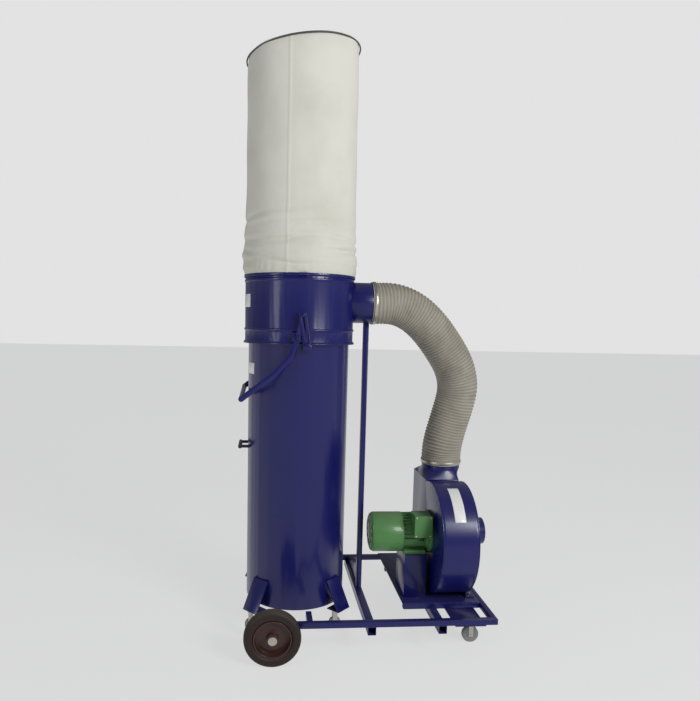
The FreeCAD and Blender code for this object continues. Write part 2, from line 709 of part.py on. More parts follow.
def fan_wheel(label, disc, disc_span, hub, hub_span, blades, blade_span, blade_radii):
    """Back disc, hub and straight radial blades on the shaft."""
    pieces = [rod("x", SHAFT, disc_span, disc), rod("x", SHAFT, hub_span, hub)]
    inner, outer = blade_radii
    for number in range(blades):
        blade = doc.addObject("Part::Box", "Blade")
        blade.Length = amount(blade_span[1]) - amount(blade_span[0])
        blade.Width = 3
        blade.Height = outer - inner
        turn = Rotation(Vector(1, 0, 0), 360.0 * number / blades)
        foot = turn.multVec(Vector(0, -1.5, inner))
        hub_centre = Vector(amount(blade_span[0]), amount("shaft_y"), amount("shaft_level"))
        blade.Placement = Placement(hub_centre + foot, turn)
        pieces.append(blade)
    shaft_hole = rod("x", SHAFT, ("drum_x + 300", "drum_x + 800"), "shaft_radius")
    node(cut(fuse(pieces), shaft_hole), label)


fan_wheel("impeller", "205", ("drum_x + 645", "drum_x + 649"), "32", ("drum_x + 645", "drum_x + 700"),
          8, ("drum_x + 648", "drum_x + 770"), (90, 203))
fan_wheel("cooling_fan", "80", ("drum_x + 390", "drum_x + 394"), "22", ("drum_x + 390", "drum_x + 412"),
          6, ("drum_x + 393", "drum_x + 430"), (30, 78))

# ---------------------------------------------------------------- flexible duct
# Route of the duct centre line between its straight ends, as knots of distance from
# the drum axis, depth and height, each with the direction the duct runs there.
ROUTE = [((615, 26, 1440), (167, 28, -159)), ((790, 70, 1129), (19, 24, -200)),
         ((756, 92, 947), (-41, 22, -196))]


def arc_edge(start, heading, end):
    """Arc that leaves the start along the heading and passes through the end."""
    chord = end - start
    along = Vector(chord).normalize()
    bulge = heading - along * heading.dot(along)
    if bulge.Length < 1e-6:
        return Part.makeLine(start, end)
    half_angle = heading.getAngle(chord)
    rise = chord.Length / 2 * math.tan(half_angle / 2)
    middle = start + chord / 2 + bulge.normalize() * rise
    return Part.Arc(start, middle, end).toShape()


def two_arcs(start, heading, end, final):
    """Pair of arcs that meet smoothly and match the heading at both ends."""
    chord = end - start
    lean = chord.dot(heading + final)
    open_angle = 1 - heading.dot(final)
    reach = (-lean + math.sqrt(lean ** 2 + 2 * open_angle * chord.dot(chord))) / (2 * open_angle)
    joint = (start + end + (heading - final) * reach) / 2
    back = arc_edge(end, -final, joint)
    back.reverse()
    return [arc_edge(start, heading, joint), back]


def duct_line():
    """Straight ends on both collars joined by smooth arcs."""
    drum_x = amount("drum_x")
    start = Vector(drum_x + amount("hose_start"), 0, amount("inlet_level"))
    finish = Vector(drum_x + amount("outlet_x"), amount("outlet_y"), amount("hose_low"))
    knots = [(start + Vector(38, 0, 0), Vector(1, 0, 0))]
    for (x, y, z), heading in ROUTE:
        knots.append((Vector(drum_x + x, y, z), Vector(*heading).normalize()))
    knots.append((finish + Vector(0, 0, 38), Vector(0, 0, -1)))
    edges = [Part.makeLine(start, knots[0][0])]
    for (here, heading), (there, final) in zip(knots, knots[1:]):
        edges += two_arcs(here, heading, there, final)
    edges.append(Part.makeLine(knots[-1][0], finish))
    return Part.Wire(edges)


def duct_solid(radius):
    line = duct_line()
    start = Vector(amount("drum_x + hose_start"), 0, amount("inlet_level"))
    mouth = Part.Wire(Part.makeCircle(radius, start, Vector(1, 0, 0)))
    return line.makePipeShell([mouth], True, False)


node(solid_feature("Duct", duct_solid(amount("hose_outer")).cut(duct_solid(amount("hose_inner")))),
     "flexible_duct")

top_clip = cut(rod("x", ("0", "inlet_level"), ("drum_x + 340", "drum_x + 352"), "hose_outer + 2.6"),
               rod("x", ("0", "inlet_level"), ("drum_x + 339", "drum_x + 353"), "hose_outer + 0.6"))
outlet = ("drum_x + outlet_x", "outlet_y")
low_clip = cut(rod("z", outlet, ("hose_low + 6", "hose_low + 18"), "hose_outer + 2.6"),
               rod("z", outlet, ("hose_low + 5", "hose_low + 19"), "hose_outer + 0.6"))
node(fuse([top_clip, low_clip]), "duct_clamps")

# ---------------------------------------------------------------- checks and export
doc.recompute()
for item in doc.Objects:
    if "Invalid" in item.State or "Error" in item.State:
        raise RuntimeError("%s (%s) did not compute: %s" % (item.Label, item.Name, item.State))
for item in nodes:
    if item.Shape.isNull() or not item.Shape.isValid() or not item.Shape.Solids:
        raise RuntimeError("%s has no valid solid" % item.Label)
for item in nodes:
    item.Shape.exportStep(os.path.join("parts", item.Label + ".step"))
print("exported %d sub-parts" % len(nodes))
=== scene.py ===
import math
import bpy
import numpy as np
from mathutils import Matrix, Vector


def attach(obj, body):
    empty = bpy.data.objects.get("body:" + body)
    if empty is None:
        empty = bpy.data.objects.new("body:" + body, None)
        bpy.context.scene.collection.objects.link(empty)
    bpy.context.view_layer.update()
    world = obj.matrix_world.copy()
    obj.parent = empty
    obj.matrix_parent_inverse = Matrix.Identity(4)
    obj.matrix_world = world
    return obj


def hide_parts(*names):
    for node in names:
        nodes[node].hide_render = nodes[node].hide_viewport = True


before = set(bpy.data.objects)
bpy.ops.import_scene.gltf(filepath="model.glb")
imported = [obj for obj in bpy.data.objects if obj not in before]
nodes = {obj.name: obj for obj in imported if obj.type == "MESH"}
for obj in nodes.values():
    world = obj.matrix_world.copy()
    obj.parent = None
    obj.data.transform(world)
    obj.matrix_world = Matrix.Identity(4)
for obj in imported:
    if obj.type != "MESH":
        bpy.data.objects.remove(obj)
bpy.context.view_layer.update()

# %% [markdown]
# A mobile dust collector. A blower on a wheeled frame pushes dusty air through a
# flexible duct into a steel housing. Dust drops into the bin below, clean air
# leaves through the filter bag above. The frame holds every part in its place;
# this lesson dresses each part the way its maker would finish it.

scene = bpy.context.scene
DRUM_X = -0.308          # axis of bin, housing and bag
SHAFT_Y = -0.080         # axis of motor and impeller
SHAFT_Z = 0.460
rng = np.random.default_rng(7)
print("parts in the frame:", len(nodes))

# %% [markdown]
# The finishes share three habits of a used workshop machine: a fine orange-peel in
# the enamel, scuffs where hands and off-cuts touch, and dust that settles on
# surfaces that face up. Each habit is one small shader group with named inputs, so
# every paint can wear it at its own strength.


# %% Shader groups
def group(name, inputs, outputs):
    """Empty shader group with named float or colour sockets."""
    tree = bpy.data.node_groups.new(name, "ShaderNodeTree")
    for label, kind, value in inputs:
        socket = tree.interface.new_socket(name=label, in_out="INPUT", socket_type=kind)
        socket.default_value = value
    for label, kind in outputs:
        tree.interface.new_socket(name=label, in_out="OUTPUT", socket_type=kind)
    return tree, tree.nodes.new("NodeGroupInput"), tree.nodes.new("NodeGroupOutput")


def math_node(tree, operation, first, second=0.5, clamp=False):
    """One arithmetic node; each operand is a socket or a number."""
    item = tree.nodes.new("ShaderNodeMath")
    item.operation = operation
    item.use_clamp = clamp
    for index, operand in enumerate((first, second)):
        if isinstance(operand, (int, float)):
            item.inputs[index].default_value = operand
        else:
            tree.links.new(operand, item.inputs[index])
    return item.outputs[0]


def mix_node(tree, factor, first, second):
    """Blend of two colours; each may be a socket or a colour."""
    item = tree.nodes.new("ShaderNodeMix")
    item.data_type = "RGBA"
    for socket, operand in ((item.inputs[0], factor), (item.inputs[6], first), (item.inputs[7], second)):
        if isinstance(operand, (int, float, tuple)):
            socket.default_value = operand
        else:
            tree.links.new(operand, socket)
    return item.outputs[2]


def noise_node(tree, vector, scale, detail=3.0):
    """Noise texture on a vector socket; scale is a socket or a number."""
    item = tree.nodes.new("ShaderNodeTexNoise")
    item.inputs["Detail"].default_value = detail
    tree.links.new(vector, item.inputs["Vector"])
    if isinstance(scale, (int, float)):
        item.inputs["Scale"].default_value = scale
    else:
        tree.links.new(scale, item.inputs["Scale"])
    return item.outputs["Fac"]


FLOAT = "NodeSocketFloat"

peel, peel_in, peel_out = group("orange_peel", [("Scale", FLOAT, 300.0)], [("Height", FLOAT)])
peel_at = peel.nodes.new("ShaderNodeTexCoord").outputs["Object"]
peel.links.new(noise_node(peel, peel_at, peel_in.outputs["Scale"]), peel_out.inputs["Height"])

scuff, scuff_in, scuff_out = group("scuffs", [("Scale", FLOAT, 9.0), ("Amount", FLOAT, 0.2)],
                                   [("Mask", FLOAT)])
scuff_at = scuff.nodes.new("ShaderNodeTexCoord").outputs["Object"]
scuff_fine = math_node(scuff, "MULTIPLY", scuff_in.outputs["Scale"], 9.0)
scuff_sum = math_node(scuff, "ADD", noise_node(scuff, scuff_at, scuff_in.outputs["Scale"], 6.0),
                      math_node(scuff, "MULTIPLY", noise_node(scuff, scuff_at, scuff_fine), 0.35))
scuff_edge = math_node(scuff, "SUBTRACT", scuff_sum, 0.86)
scuff_cut = math_node(scuff, "MULTIPLY", scuff_edge, 14.0, True)
scuff.links.new(math_node(scuff, "MULTIPLY", scuff_cut, scuff_in.outputs["Amount"], True),
                scuff_out.inputs["Mask"])

dust, dust_in, dust_out = group("settled_dust", [("Amount", FLOAT, 0.4)], [("Mask", FLOAT)])
dust_up = dust.nodes.new("ShaderNodeSeparateXYZ")
dust.links.new(dust.nodes.new("ShaderNodeNewGeometry").outputs["Normal"], dust_up.inputs[0])
dust_at = dust.nodes.new("ShaderNodeTexCoord").outputs["Object"]
dust_flat = math_node(dust, "MULTIPLY", dust_up.outputs["Z"], 0.75, True)
dust_patch = math_node(dust, "ADD", noise_node(dust, dust_at, 11.0, 5.0), 0.2)
dust_all = math_node(dust, "MULTIPLY", math_node(dust, "MULTIPLY", dust_flat, dust_flat), dust_patch)
dust.links.new(math_node(dust, "MULTIPLY", dust_all, dust_in.outputs["Amount"], True),
               dust_out.inputs["Mask"])
print("shader groups:", [tree.name for tree in bpy.data.node_groups])

# %% [markdown]
# Enamel over sheet steel is colour, a hard clear shine and a little texture. The same
# recipe with other colours gives the motor green, the hub brown and the dark ring.


# %% Paints and metals
def start_material(name):
    material = bpy.data.materials.new(name)
    material.use_nodes = True
    return material, material.node_tree, material.node_tree.nodes["Principled BSDF"]


def use_group(tree, name, **values):
    item = tree.nodes.new("ShaderNodeGroup")
    item.node_tree = bpy.data.node_groups[name]
    for label, value in values.items():
        item.inputs[label].default_value = value
    return item.outputs[0]


def bump_on(tree, surface, height, strength, distance):
    bump = tree.nodes.new("ShaderNodeBump")
    bump.inputs["Strength"].default_value = strength
    bump.inputs["Distance"].default_value = distance
    tree.links.new(height, bump.inputs["Height"])
    tree.links.new(bump.outputs["Normal"], surface.inputs["Normal"])


DUST_COLOUR = (0.42, 0.37, 0.30, 1)


def coated(name, colour, worn, rough, coat, metal=0.0, scuffed=0.5, dusty=0.25,
           grain=260.0, peel_by=0.12):
    """Coloured coat with orange-peel, scuffs and settled dust."""
    material, tree, surface = start_material(name)
    at = tree.nodes.new("ShaderNodeTexCoord").outputs["Object"]
    shade = noise_node(tree, at, 2.3, 4.0)
    base = mix_node(tree, math_node(tree, "MULTIPLY", shade, 0.5), colour,
                    tuple(0.7 * c for c in colour[:3]) + (1,))
    marks = use_group(tree, "scuffs", Scale=7.0, Amount=scuffed)
    fallen = use_group(tree, "settled_dust", Amount=dusty)
    worn_base = mix_node(tree, marks, base, worn)
    tree.links.new(mix_node(tree, fallen, worn_base, DUST_COLOUR), surface.inputs["Base Color"])
    dulled = math_node(tree, "ADD", math_node(tree, "MULTIPLY", marks, 0.25),
                       math_node(tree, "MULTIPLY", fallen, 0.5))
    tree.links.new(math_node(tree, "ADD", dulled, rough, True), surface.inputs["Roughness"])
    surface.inputs["Metallic"].default_value = metal
    surface.inputs["Specular IOR Level"].default_value = 0.35
    surface.inputs["Coat Weight"].default_value = coat
    surface.inputs["Coat Roughness"].default_value = 0.12
    bump_on(tree, surface, use_group(tree, "orange_peel", Scale=grain), peel_by, 0.0004)
    return material


blue = coated("blue_enamel", (0.006, 0.007, 0.105, 1), (0.012, 0.014, 0.12, 1), 0.30, 0.15, dusty=0.10)
green = coated("green_enamel", (0.075, 0.225, 0.065, 1), (0.10, 0.20, 0.09, 1), 0.40, 0.2, dusty=0.3)
hub_brown = coated("hub_enamel", (0.045, 0.014, 0.010, 1), (0.07, 0.035, 0.03, 1), 0.38, 0.25, dusty=0.1)
ring_dark = coated("ring_enamel", (0.06, 0.065, 0.06, 1), (0.2, 0.2, 0.19, 1), 0.45, 0.0)
grip_dark = coated("grip_enamel", (0.012, 0.012, 0.03, 1), (0.08, 0.08, 0.1, 1), 0.40, 0.1)
zinc = coated("zinc_plate", (0.52, 0.50, 0.44, 1), (0.3, 0.25, 0.18, 1),
              0.34, 0.0, metal=1.0, grain=700.0)
steel = coated("turned_steel", (0.42, 0.42, 0.43, 1), (0.2, 0.17, 0.14, 1),
               0.3, 0.0, metal=1.0, grain=900.0)
plastic = coated("black_plastic", (0.02, 0.02, 0.02, 1), (0.06, 0.06, 0.06, 1), 0.5, 0.0, grain=900.0)
grey_roll = coated("grey_nylon", (0.23, 0.235, 0.23, 1), (0.12, 0.11, 0.10, 1), 0.5, 0.0, scuffed=0.8)
rubber = coated("brown_rubber", (0.020, 0.010, 0.0075, 1), (0.045, 0.026, 0.02, 1), 0.62, 0.0,
                scuffed=0.7, dusty=0.35, grain=420.0, peel_by=0.4)
seal = coated("foam_rubber", (0.02, 0.02, 0.02, 1), (0.05, 0.05, 0.05, 1),
              0.8, 0.0, grain=900.0, peel_by=0.6)
film = coated("blank_film", (0.80, 0.80, 0.78, 1), (0.66, 0.65, 0.62, 1),
              0.35, 0.2, scuffed=0.25, dusty=0.1)
print("coats:", len(bpy.data.materials))

# %% [markdown]
# Two cloths. The filter bag is a plain weave: threads over and under, two sets at
# right angles, soiled a little in soft stains; painted shade darkens a band above the hem,
# and the seam stitches and lower part are darker. The duct is coated cloth glued over a
# wire spiral, with painted shade in each valley between turns.


# %% Cloths
def cloth(name, pale, soiled_and_shaded, thread, stain_scale, stain_from, rough, lustre):
    """Woven cloth; the piece's own UV map runs once per metre of cloth."""
    material, tree, surface = start_material(name)
    uv = tree.nodes.new("ShaderNodeUVMap").outputs["UV"]
    at = tree.nodes.new("ShaderNodeTexCoord").outputs["Object"]
    threads = []
    for direction in ("X", "Y"):
        wave = tree.nodes.new("ShaderNodeTexWave")
        wave.wave_type = "BANDS"
        wave.bands_direction = direction
        wave.inputs["Scale"].default_value = thread
        wave.inputs["Distortion"].default_value = 0.6
        tree.links.new(uv, wave.inputs["Vector"])
        threads.append(wave.outputs["Fac"])
    weave = math_node(tree, "ADD", threads[0], threads[1])
    stain = noise_node(tree, at, stain_scale, 6.0)
    stain = math_node(tree, "MULTIPLY", math_node(tree, "SUBTRACT", stain, stain_from), 3.0, True)
    # Per-point attribute: painted shade in the duct's valleys and above the bag's hem, with other darker
    # tone, added to the stains.
    shade_and_darkening = tree.nodes.new("ShaderNodeAttribute")
    shade_and_darkening.attribute_name = "shade_and_darkening"
    soil_and_shade = math_node(tree, "ADD", math_node(tree, "MULTIPLY", stain, 0.35), shade_and_darkening.outputs["Fac"], True)
    base = mix_node(tree, soil_and_shade, pale, soiled_and_shaded)
    shaded = mix_node(tree, math_node(tree, "MULTIPLY", weave, 0.12), base, soiled_and_shaded)
    tree.links.new(shaded, surface.inputs["Base Color"])
    surface.inputs["Roughness"].default_value = rough
    surface.inputs["Sheen Weight"].default_value = lustre
    bump_on(tree, surface, weave, 0.25, 0.0006)
    return material


bag_cloth = cloth("filter_cloth", (0.67, 0.665, 0.60, 1), (0.42, 0.40, 0.33, 1),
                  260.0, 5.0, 0.45, 0.92, 0.25)
duct_cloth = cloth("duct_cloth", (0.37, 0.345, 0.28, 1), (0.14, 0.125, 0.10, 1),
                   300.0, 12.0, 0.45, 0.62, 0.1)
print("cloths:", bag_cloth.name, duct_cloth.name)

# %% [markdown]
# Sheet steel never ends in a knife edge. Each frame part is welded into one skin and
# its edges are broken by about a millimetre, so light catches them.

# %% Finish for every frame part
FINISH = {
    "bag_cage": zinc, "bag_top_ring": ring_dark, "bin_handle": grip_dark, "bin_label": film,
    "blank_labels": film, "cable_gland": plastic, "cooling_fan": plastic, "duct_clamps": zinc,
    "housing_seal": seal, "motor_body": green, "motor_fan_cowl": green, "motor_flange": green,
    "motor_rear_shield": green, "motor_rotor": steel, "terminal_box": green, "wheel_axles": zinc,
}


def finish_of(name):
    if name.startswith("road_hub"):
        return hub_brown
    if name.endswith("_fork"):
        return zinc
    if name.endswith("_wheel"):
        return grey_roll
    return FINISH.get(name, blue)


for name, item in nodes.items():
    item.data.materials.clear()
    item.data.materials.append(finish_of(name))
    item.data.shade_smooth()
    weld = item.modifiers.new("weld", "WELD")
    weld.merge_threshold = 0.00002
    bevel = item.modifiers.new("edge", "BEVEL")
    bevel.width = 0.0004 if name in ("bin_label", "blank_labels") else 0.0009
    bevel.segments = 2
    bevel.limit_method = "ANGLE"
    bevel.angle_limit = math.radians(32)
    bevel.harden_normals = True
print("frame parts finished:", len(nodes))

# %% [markdown]
# New pieces are grids of points worked out with formulas: a row of points is one
# ring, and rings are joined by quads.


# %% Grid and piece helpers
def grid_piece(name, points, close_u=True, close_v=False, material=None, uv=None, shade_and_darkening=None):
    """Mesh from an array rows x columns x 3. Columns run round (u), rows run along (v).
    Quad corners are (row, column), (row, column + 1), (row + 1, column + 1), (row + 1, column)."""
    rows, columns = points.shape[:2]
    row = np.arange(rows if close_v else rows - 1)
    column = np.arange(columns if close_u else columns - 1)
    r, c = np.meshgrid(row, column, indexing="ij")
    r2, c2 = (r + 1) % rows, (c + 1) % columns
    quads = np.stack([r * columns + c, r * columns + c2, r2 * columns + c2, r2 * columns + c], -1)
    quads = quads.reshape(-1, 4)
    mesh = bpy.data.meshes.new(name)
    mesh.from_pydata(points.reshape(-1, 3), [], quads.tolist())
    mesh.shade_smooth()
    if uv is not None:
        layer = mesh.uv_layers.new(name="UVMap")
        corners = uv.reshape(-1, 2)[quads.reshape(-1)].copy()
        if close_u:
            late = np.tile(c.reshape(-1) == columns - 1, (4, 1)).T
            wrap = np.array([False, True, True, False])
            lap = uv[0, -1, 0] + uv[0, 1, 0] - uv[0, 0, 0]
            corners[(late & wrap).reshape(-1), 0] = lap
        layer.data.foreach_set("uv", corners.reshape(-1))
    # Per-point cloth darkening, painted shade among it, stored as a point attribute.
    if shade_and_darkening is not None:
        data = mesh.attributes.new("shade_and_darkening", "FLOAT", "POINT").data
        data.foreach_set("value", shade_and_darkening.reshape(-1).astype(np.float32))
    if material:
        mesh.materials.append(material)
    item = bpy.data.objects.new(name, mesh)
    scene.collection.objects.link(item)
    return item


def lathe(name, profile, origin, axis, columns, material):
    """Turned piece: radius r and level h become origin + h along axis + r round it."""
    profile = np.array(profile)
    turn = np.linspace(0, 2 * np.pi, columns, endpoint=False)
    along = Vector(axis)
    side = along.orthogonal().normalized()
    other = along.cross(side)
    ring = np.outer(np.cos(turn), side) + np.outer(np.sin(turn), other)
    points = profile[:, :1, None] * ring[None] + profile[:, 1, None, None] * np.array(along)
    return grid_piece(name, points + np.array(origin), True, False, material)


def bump_at(value, centre, width):
    """Soft hill: one at the centre, fading like a bell over the width."""
    return np.exp(-((value - centre) / width) ** 2)


# %% [markdown]
# The filter bag is a stitched cylinder of cream cloth with a round top. Its hem is
# gathered under the clamp band, the slack above it sinks into soft rolls, and a
# felled seam runs up the front. Higher up the cloth is drawn over four cage rods,
# so it lies almost flat between them. The hoop at the top sits crooked: higher on the
# duct side, as a bag does when it is pulled on by hand.


# %% Filter bag
HEM, CUT_TOP = 1.641, 2.583   # ends of the cloth before it is drawn up at the hoop
HOOP_RISE = 0.036        # stretch of the full bag at its hoop
HOOP_TILT = 0.034        # lift of the duct side and drop of the other side


def bag_surface(columns=540, rows=420):
    """Radius = slow profile + rolls near the hem + gathers + tension panels + seam."""
    turn = np.linspace(0, 2 * np.pi, columns, endpoint=False)
    high = np.linspace(0, 1, rows) ** 1.15
    z = HEM + high * (CUT_TOP - HEM)
    a, h = np.meshgrid(turn, z)
    knots = [1.637, 1.652, 1.672, 1.70, 1.76, 1.82, 1.90, 2.0, 2.3, 2.55, CUT_TOP]
    radii = [0.2537, 0.2540, 0.2585, 0.2600, 0.2600, 0.2570, 0.2530, 0.2505, 0.2500, 0.2495, 0.2470]
    radius = np.interp(h, knots, radii)
    rise = np.clip((h - 1.652) / 0.02, 0, 1)
    slack = np.exp(-np.clip(h - 1.66, 0, None) / 0.16)
    for _ in range(16):
        level = 1.67 + 0.26 * rng.random() ** 1.5
        centre, spread = 2 * np.pi * rng.random(), 0.5 + 0.9 * rng.random()
        apart = np.angle(np.exp(1j * (a - centre)))
        tilt = 0.02 * rng.normal() * apart
        depth = 0.0062 * (0.5 + rng.random()) * rng.choice([-1, 1])
        roll = bump_at(h, level + tilt, 0.010 + 0.012 * rng.random()) * bump_at(apart, 0, spread)
        radius += rise * depth * roll
    gather = np.sin(46 * a + 3 * np.sin(5 * a)) + 0.6 * np.sin(31 * a + 1.3)
    radius += rise * 0.0013 * gather * np.exp(-(h - 1.652) / 0.03)
    radius += rise * 0.0025 * slack * np.sin(5 * a + 2.1 + 14 * (h - 1.65))
    drawn = np.clip((h - 1.85) / 0.35, 0, 1)
    radius += drawn * 0.0024 * (np.cos(4 * (a - np.pi / 4)) - 0.5)
    radius += drawn * 0.0014 * np.sin(9 * a + 5 * h) * np.sin(6 * h + 2 * a)
    seam = np.angle(np.exp(1j * (a - np.radians(254))))
    radius += 0.0016 * np.exp(-(seam * 0.25 / 0.006) ** 4)
    stitch = np.exp(-((np.abs(seam) * 0.25 - 0.0045) / 0.0008) ** 2)
    radius -= 0.0007 * stitch * (0.6 + 0.4 * np.sin(h * 2 * np.pi / 0.008))
    for level, deep, spread, start in ((1.695, 0.007, 0.011, 0.4), (1.742, 0.008, 0.015, 2.0),
                                       (1.795, 0.008, 0.016, 4.1), (1.865, 0.006, 0.020, 5.3)):
        path = level + 0.012 * np.sin(2 * a + start) + 0.006 * np.sin(5 * a + 2 * start)
        strength = 0.55 + 0.45 * np.sin(3 * a + 1.7 * start)
        radius -= rise * deep * strength * bump_at(h, path, spread)
    radius += drawn * 0.0022 * np.sin(13 * h + 3 * a + np.sin(4 * a)) * np.sin(2.2 * a + 9 * h + 1)
    raised = h + ((h - HEM) / (CUT_TOP - HEM)) ** 2 * (HOOP_RISE + HOOP_TILT * np.cos(a))
    points = np.stack([DRUM_X + radius * np.cos(a), radius * np.sin(a), raised], -1)
    # Painted shade: a dark band just above the hem, under the clamp band. The cloth is also darker along
    # the seam stitches and over the slack lower part.
    bag_shade_and_darkening = 0.30 * np.exp(-(h - 1.637) / 0.03) + 0.22 * stitch + 0.12 * slack
    return points, bag_shade_and_darkening, h


side, side_shade_and_darkening, side_h = bag_surface()
inward = np.linspace(1, 0.0, 60)[1:]
rim = side[-1]
centre = np.array([DRUM_X, 0, 0])
top = centre + (rim - centre) * np.array([1, 1, 0]) * inward[:, None, None]
around = np.linspace(0, 2 * np.pi, side.shape[1], endpoint=False)[None]
crown = 0.0045 * (1 - inward[:, None] ** 6) - 0.004 * (1 - inward[:, None]) ** 2
crease = 0.0007 * np.sin(17 * around + 4 * inward[:, None]) * inward[:, None] ** 3
rim_level = rim[:, 2].mean()
tilt = (rim[None, :, 2] - rim_level) * inward[:, None]
top[..., 2] = rim_level + tilt + crown + crease
bag_points = np.concatenate([side, top])
# The round top is evenly a little darker.
top_darkening = np.full(top.shape[:2], 0.12)
bag_uv = np.zeros(bag_points.shape[:2] + (2,))
bag_uv[..., 0] = around * 0.25
bag_uv[: len(side), :, 1] = side_h
bag_uv[len(side):, :, 1] = CUT_TOP + (1 - inward[:, None]) * 0.25
bag = grid_piece("filter_bag_cloth", bag_points, True, False, bag_cloth, bag_uv,
                 np.concatenate([side_shade_and_darkening, top_darkening]))
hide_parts("filter_bag")
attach(bag, "frame")
hoop_a = np.linspace(0, 2 * np.pi, 180, endpoint=False)
bar_a = np.linspace(0, 2 * np.pi, 20, endpoint=False)
hoop_r = 0.2508 + 0.0034 * np.cos(bar_a)[:, None] + 0.0006 * np.sin(3 * hoop_a)[None]
hoop_z = CUT_TOP - 0.007 + HOOP_RISE + HOOP_TILT * np.cos(hoop_a)[None]
hoop_z = hoop_z + 0.0034 * np.sin(bar_a)[:, None]
hoop_points = np.stack([DRUM_X + hoop_r * np.cos(hoop_a), hoop_r * np.sin(hoop_a), hoop_z], -1)
top_hoop = grid_piece("top_hoop", hoop_points, True, True, ring_dark)
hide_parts("bag_top_ring")
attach(top_hoop, "frame")
print("bag points:", bag_points.shape)

# %% [markdown]
# The duct is a cloth tube over a spiral of spring wire. Between two turns the cloth
# sinks in, and on the inside of a bend the turns crowd together. Its line leaves the
# housing level, hangs over in an arc and comes down onto the blower.


# %% Flexible duct
def smooth_line(knots, count):
    """Natural cubic curve through the knots, resampled at even steps of length."""
    knots = np.array(knots, float)
    step = np.linalg.norm(np.diff(knots, axis=0), axis=1)
    at = np.concatenate([[0], np.cumsum(step)])
    n = len(knots)
    matrix, right = np.eye(n), np.zeros((n, 3))
    for i in range(1, n - 1):
        matrix[i, i - 1: i + 2] = step[i - 1], 2 * (step[i - 1] + step[i]), step[i]
        right[i] = 6 * ((knots[i + 1] - knots[i]) / step[i] - (knots[i] - knots[i - 1]) / step[i - 1])
    bend = np.linalg.solve(matrix, right)
    s = np.linspace(0, at[-1], 4 * count)
    i = np.clip(np.searchsorted(at, s) - 1, 0, n - 2)
    h, left, rest = step[i], at[i + 1] - s, s - at[i]
    curve = ((left ** 3 / (6 * h))[:, None] * bend[i] + (rest ** 3 / (6 * h))[:, None] * bend[i + 1]
             + (left / h)[:, None] * knots[i] + (rest / h)[:, None] * knots[i + 1]
             - (left * h / 6)[:, None] * bend[i] - (rest * h / 6)[:, None] * bend[i + 1])
    length = np.concatenate([[0], np.cumsum(np.linalg.norm(np.diff(curve, axis=0), axis=1))])
    even = np.linspace(0, length[-1], count)
    return np.stack([np.interp(even, length, curve[:, k]) for k in range(3)], 1), even


ROUTE_MM = [(334, 0, 1537), (353, 0, 1537), (372, 0, 1537), (430, 4, 1537), (528, 14, 1506),
            (615, 26, 1440), (695, 42, 1347), (760, 56, 1248), (790, 70, 1129), (779, 80, 1048),
            (756, 92, 947), (738, 102, 852), (735, 110, 790), (735, 110, 771), (735, 110, 752)]
line, run = smooth_line([(DRUM_X + x / 1000, y / 1000, z / 1000) for x, y, z in ROUTE_MM], 1000)
forward = np.gradient(line, axis=0)
forward /= np.linalg.norm(forward, axis=1)[:, None]
across = np.cross(forward, [0, 1, 0])
across /= np.linalg.norm(across, axis=1)[:, None]
above = np.cross(forward, across)
round_a = np.linspace(0, 2 * np.pi, 160, endpoint=False)
PITCH = 0.0145
phase = run[:, None] / PITCH * 2 * np.pi - round_a[None]
held_in = np.clip(np.minimum(run, run[-1] - run) / 0.05, 0, 1)[:, None]
valley = np.abs(np.sin(phase / 2)) ** 0.8
crumple = (0.0005 * np.sin(3 * round_a[None] + run[:, None] * 31)
           + 0.0004 * np.sin(7 * round_a[None] - run[:, None] * 57))
sag = 0.0030 + 0.0014 * np.sin(2 * round_a[None] + 9 * run[:, None])
duct_radius = 0.0972 - held_in * valley * (sag - crumple) - (1 - held_in) * 0.0010 * valley
duct_points = (line[:, None] + duct_radius[..., None]
               * (np.cos(round_a)[None, :, None] * across[:, None]
                  + np.sin(round_a)[None, :, None] * above[:, None]))
duct_uv = np.stack([np.broadcast_to(round_a[None] * 0.096, duct_radius.shape),
                    np.broadcast_to(run[:, None], duct_radius.shape)], -1)
# Painted shade in every valley between wire turns, plus faint spiral streaks of darker tone.
duct_shade_and_streaks = 0.55 * valley ** 3 + 0.15 * np.sin(round_a[None] * 2 + run[:, None] * 6) ** 2
duct = grid_piece("duct_skin", duct_points[:, ::-1], True, False, duct_cloth,
                  duct_uv[:, ::-1], duct_shade_and_streaks[:, ::-1])
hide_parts("flexible_duct")
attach(duct, "frame")
print("duct length:", round(float(run[-1]), 3), "m")

# %% [markdown]
# The road wheels are solid rubber tyres pressed on steel hubs. The tread has three
# shallow grooves and the side wall a raised ring, as the mould leaves it.


# %% Road tyres
def tyre_profile():
    """Closed section (radius, offset from the middle) with grooves cut into the tread."""
    t = np.linspace(0, 2 * np.pi, 96, endpoint=False)
    power = 2 / 3.2
    wide = 0.0278 * np.sign(np.sin(t)) * np.abs(np.sin(t)) ** power
    high = 0.1015 + 0.0205 * np.sign(np.cos(t)) * np.abs(np.cos(t)) ** power
    tread = np.clip((high - 0.112) / 0.008, 0, 1)
    for groove in (-0.012, 0.0, 0.012):
        high = high - 0.0018 * tread * bump_at(wide, groove, 0.0016)
    wall = bump_at(high, 0.100, 0.0022) * np.sign(wide) * 0.0006
    return np.stack([high, wide + wall], 1)


for side_sign, name in ((-1, "front"), (1, "rear")):
    section = tyre_profile()
    hoop = np.concatenate([section, section[:1]])
    tyre_centre = (DRUM_X - 0.115, side_sign * 0.430, 0.122)
    tyre = lathe("tyre_" + name, hoop[::-1], tyre_centre, (0, 1, 0), 160, rubber)
    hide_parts("road_tyre_" + name)
    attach(tyre, "road_wheel_" + name)
print("tyres:", 2)

# %% [markdown]
# The motor body is cast with cooling fins that run lengthwise, so the fan under the
# cowl can blow along them.


